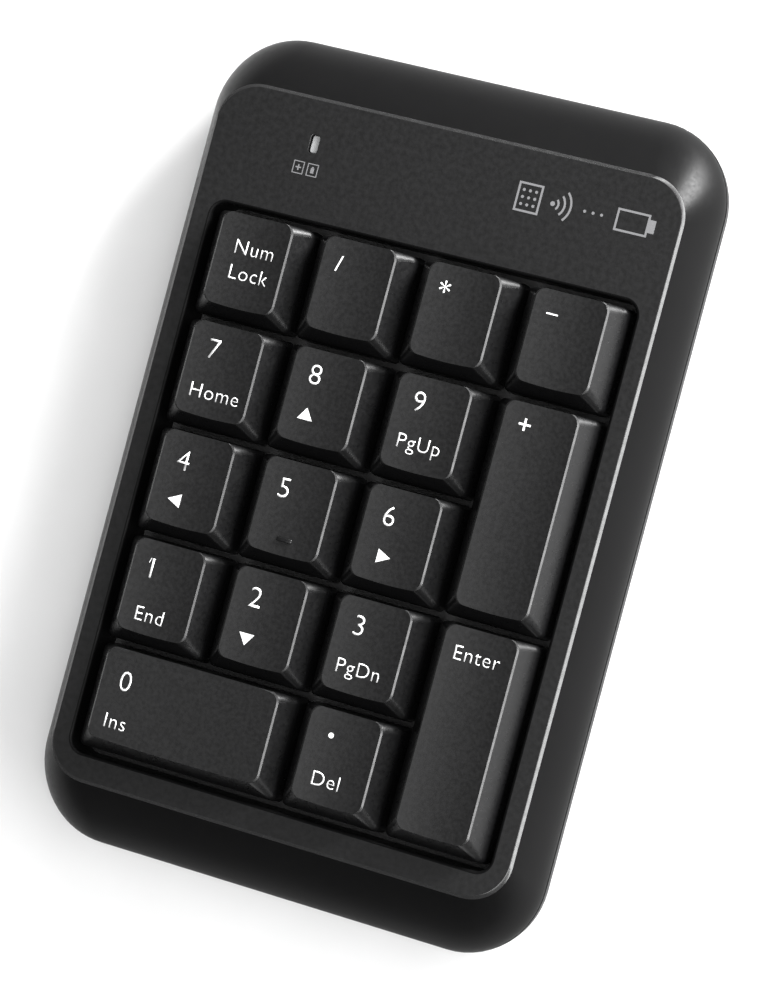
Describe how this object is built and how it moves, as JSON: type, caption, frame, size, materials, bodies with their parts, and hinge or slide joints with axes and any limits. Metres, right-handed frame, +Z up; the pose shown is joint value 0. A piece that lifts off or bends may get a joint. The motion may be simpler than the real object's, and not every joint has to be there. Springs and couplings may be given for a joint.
{
  "type": "numeric keypad",
  "caption": "Low black wireless numeric keypad with dished keys in a sloping case, indicator window, sliding battery door, power switch and rubber feet.",
  "frame": {"origin": "on the desk, under the middle of the case", "axes": "+Z up, +Y towards the back edge, +X to the right as the user sees it"},
  "size_m": [0.093, 0.1424, 0.0196],
  "materials": {
    "case_black": "moulded ABS with a fine spark-eroded grain",
    "base_black": "moulded ABS, fine grain",
    "key_black": "moulded ABS with a satin grain",
    "guide_grey": "moulded plastic, as moulded",
    "dome_rubber": "translucent silicone",
    "film": "clear polyester film",
    "plated_steel": "zinc-plated sheet",
    "spring_steel": "nickel-plated spring steel",
    "dark_steel": "black oxide",
    "board": "green solder mask on glass fibre",
    "chip_black": "moulded epoxy",
    "lamp": "clear epoxy lamp",
    "milky_plastic": "milky acrylic",
    "foot_rubber": "soft rubber",
    "cell_sleeve": "shrink sleeve over a steel can",
    "label": "blank matte film",
    "lead_red": "PVC insulation",
    "lead_black": "PVC insulation"
  },
  "bodies": {
    "case": {"top_case": "case_black", "bottom_case": "base_black", "key_guide_plate": "guide_grey", "dome_mat": "dome_rubber", "membrane_top_layer": "film", "membrane_spacer": "film", "membrane_bottom_layer": "film", "steel_backplate": "plated_steel", "battery_front": "cell_sleeve", "battery_rear": "cell_sleeve", "battery_contact_positive": "spring_steel", "battery_contact_negative": "spring_steel", "battery_contact_bridge": "spring_steel", "battery_lead_red": "lead_red", "battery_lead_black": "lead_black", "circuit_board": "board", "membrane_connector": "chip_black", "controller_chip": "chip_black", "indicator_lamp": "lamp", "indicator_light_pipe": "milky_plastic", "power_switch_body": "dark_steel", "pairing_switch": "dark_steel", "rating_label": "label", "foot_front_left": "foot_rubber", "foot_front_right": "foot_rubber", "foot_rear_left": "foot_rubber", "foot_rear_right": "foot_rubber", "screw_front_left": "dark_steel", "screw_front_right": "dark_steel", "screw_rear_left": "dark_steel", "screw_rear_middle": "dark_steel"},
    "battery_door": {"battery_door": "base_black"},
    "power_switch_slider": {"power_switch_slider": "key_black"},
    "pairing_button": {"pairing_button": "key_black"},
    "key_num_lock": {"key_num_lock": "key_black"},
    "key_divide": {"key_divide": "key_black"},
    "key_multiply": {"key_multiply": "key_black"},
    "key_subtract": {"key_subtract": "key_black"},
    "key_7": {"key_7": "key_black"},
    "key_8": {"key_8": "key_black"},
    "key_9": {"key_9": "key_black"},
    "key_add": {"key_add": "key_black"},
    "key_4": {"key_4": "key_black"},
    "key_5": {"key_5": "key_black"},
    "key_6": {"key_6": "key_black"},
    "key_1": {"key_1": "key_black"},
    "key_2": {"key_2": "key_black"},
    "key_3": {"key_3": "key_black"},
    "key_enter": {"key_enter": "key_black"},
    "key_0": {"key_0": "key_black"},
    "key_decimal": {"key_decimal": "key_black"},
    "stabiliser_wire_add": {"stabiliser_wire_add": "spring_steel"},
    "stabiliser_wire_enter": {"stabiliser_wire_enter": "spring_steel"},
    "stabiliser_wire_0": {"stabiliser_wire_0": "spring_steel"}
  },
  "joints": [
    {"name": "key_num_lock_press", "type": "slide", "parent": "case", "child": "key_num_lock", "axis": [0, 0, -1], "range_m": [0, 0.003], "stiffness_N_per_m": 150, "springref_m": -0.003, "deforming": ["dome_mat"]},
    {"name": "key_divide_press", "type": "slide", "parent": "case", "child": "key_divide", "axis": [0, 0, -1], "range_m": [0, 0.003], "stiffness_N_per_m": 150, "springref_m": -0.003, "deforming": ["dome_mat"]},
    {"name": "key_multiply_press", "type": "slide", "parent": "case", "child": "key_multiply", "axis": [0, 0, -1], "range_m": [0, 0.003], "stiffness_N_per_m": 150, "springref_m": -0.003, "deforming": ["dome_mat"]},
    {"name": "key_subtract_press", "type": "slide", "parent": "case", "child": "key_subtract", "axis": [0, 0, -1], "range_m": [0, 0.003], "stiffness_N_per_m": 150, "springref_m": -0.003, "deforming": ["dome_mat"]},
    {"name": "key_7_press", "type": "slide", "parent": "case", "child": "key_7", "axis": [0, 0, -1], "range_m": [0, 0.003], "stiffness_N_per_m": 150, "springref_m": -0.003, "deforming": ["dome_mat"]},
    {"name": "key_8_press", "type": "slide", "parent": "case", "child": "key_8", "axis": [0, 0, -1], "range_m": [0, 0.003], "stiffness_N_per_m": 150, "springref_m": -0.003, "deforming": ["dome_mat"]},
    {"name": "key_9_press", "type": "slide", "parent": "case", "child": "key_9", "axis": [0, 0, -1], "range_m": [0, 0.003], "stiffness_N_per_m": 150, "springref_m": -0.003, "deforming": ["dome_mat"]},
    {"name": "key_add_press", "type": "slide", "parent": "case", "child": "key_add", "axis": [0, 0, -1], "range_m": [0, 0.003], "stiffness_N_per_m": 150, "springref_m": -0.003, "deforming": ["dome_mat"]},
    {"name": "key_4_press", "type": "slide", "parent": "case", "child": "key_4", "axis": [0, 0, -1], "range_m": [0, 0.003], "stiffness_N_per_m": 150, "springref_m": -0.003, "deforming": ["dome_mat"]},
    {"name": "key_5_press", "type": "slide", "parent": "case", "child": "key_5", "axis": [0, 0, -1], "range_m": [0, 0.003], "stiffness_N_per_m": 150, "springref_m": -0.003, "deforming": ["dome_mat"]},
    {"name": "key_6_press", "type": "slide", "parent": "case", "child": "key_6", "axis": [0, 0, -1], "range_m": [0, 0.003], "stiffness_N_per_m": 150, "springref_m": -0.003, "deforming": ["dome_mat"]},
    {"name": "key_1_press", "type": "slide", "parent": "case", "child": "key_1", "axis": [0, 0, -1], "range_m": [0, 0.003], "stiffness_N_per_m": 150, "springref_m": -0.003, "deforming": ["dome_mat"]},
    {"name": "key_2_press", "type": "slide", "parent": "case", "child": "key_2", "axis": [0, 0, -1], "range_m": [0, 0.003], "stiffness_N_per_m": 150, "springref_m": -0.003, "deforming": ["dome_mat"]},
    {"name": "key_3_press", "type": "slide", "parent": "case", "child": "key_3", "axis": [0, 0, -1], "range_m": [0, 0.003], "stiffness_N_per_m": 150, "springref_m": -0.003, "deforming": ["dome_mat"]},
    {"name": "key_enter_press", "type": "slide", "parent": "case", "child": "key_enter", "axis": [0, 0, -1], "range_m": [0, 0.003], "stiffness_N_per_m": 150, "springref_m": -0.003, "deforming": ["dome_mat"]},
    {"name": "key_0_press", "type": "slide", "parent": "case", "child": "key_0", "axis": [0, 0, -1], "range_m": [0, 0.003], "stiffness_N_per_m": 150, "springref_m": -0.003, "deforming": ["dome_mat"]},
    {"name": "key_decimal_press", "type": "slide", "parent": "case", "child": "key_decimal", "axis": [0, 0, -1], "range_m": [0, 0.003], "stiffness_N_per_m": 150, "springref_m": -0.003, "deforming": ["dome_mat"]},
    {"name": "stabiliser_add_turn", "type": "hinge", "parent": "case", "child": "stabiliser_wire_add", "pos_m": [0.02357, 0.00145, 0.0109], "axis": [0, 1, 0], "range_deg": [0, 21.8]},
    {"name": "stabiliser_enter_turn", "type": "hinge", "parent": "case", "child": "stabiliser_wire_enter", "pos_m": [0.02357, -0.03665, 0.0109], "axis": [0, 1, 0], "range_deg": [0, 21.8]},
    {"name": "stabiliser_0_turn", "type": "hinge", "parent": "case", "child": "stabiliser_wire_0", "pos_m": [-0.01905, -0.04118, 0.0109], "axis": [1, 0, 0], "range_deg": [0, 21.8]},
    {"name": "battery_door_slide", "type": "slide", "parent": "case", "child": "battery_door", "axis": [0, 1, 0], "range_m": [0, 0.03]},
    {"name": "power_switch_slide", "type": "slide", "parent": "case", "child": "power_switch_slider", "axis": [1, 0, 0], "range_m": [0, 0.0025]},
    {"name": "pairing_button_press", "type": "slide", "parent": "case", "child": "pairing_button", "axis": [0, 0, 1], "range_m": [0, 0.0004], "stiffness_N_per_m": 1000, "springref_m": -0.0005}
  ],
  "couplings": [
    {"joint": "stabiliser_add_turn", "follows": "key_add_press", "rad_per_m": 125.73},
    {"joint": "stabiliser_enter_turn", "follows": "key_enter_press", "rad_per_m": 125.73},
    {"joint": "stabiliser_0_turn", "follows": "key_0_press", "rad_per_m": 125.73}
  ]
}
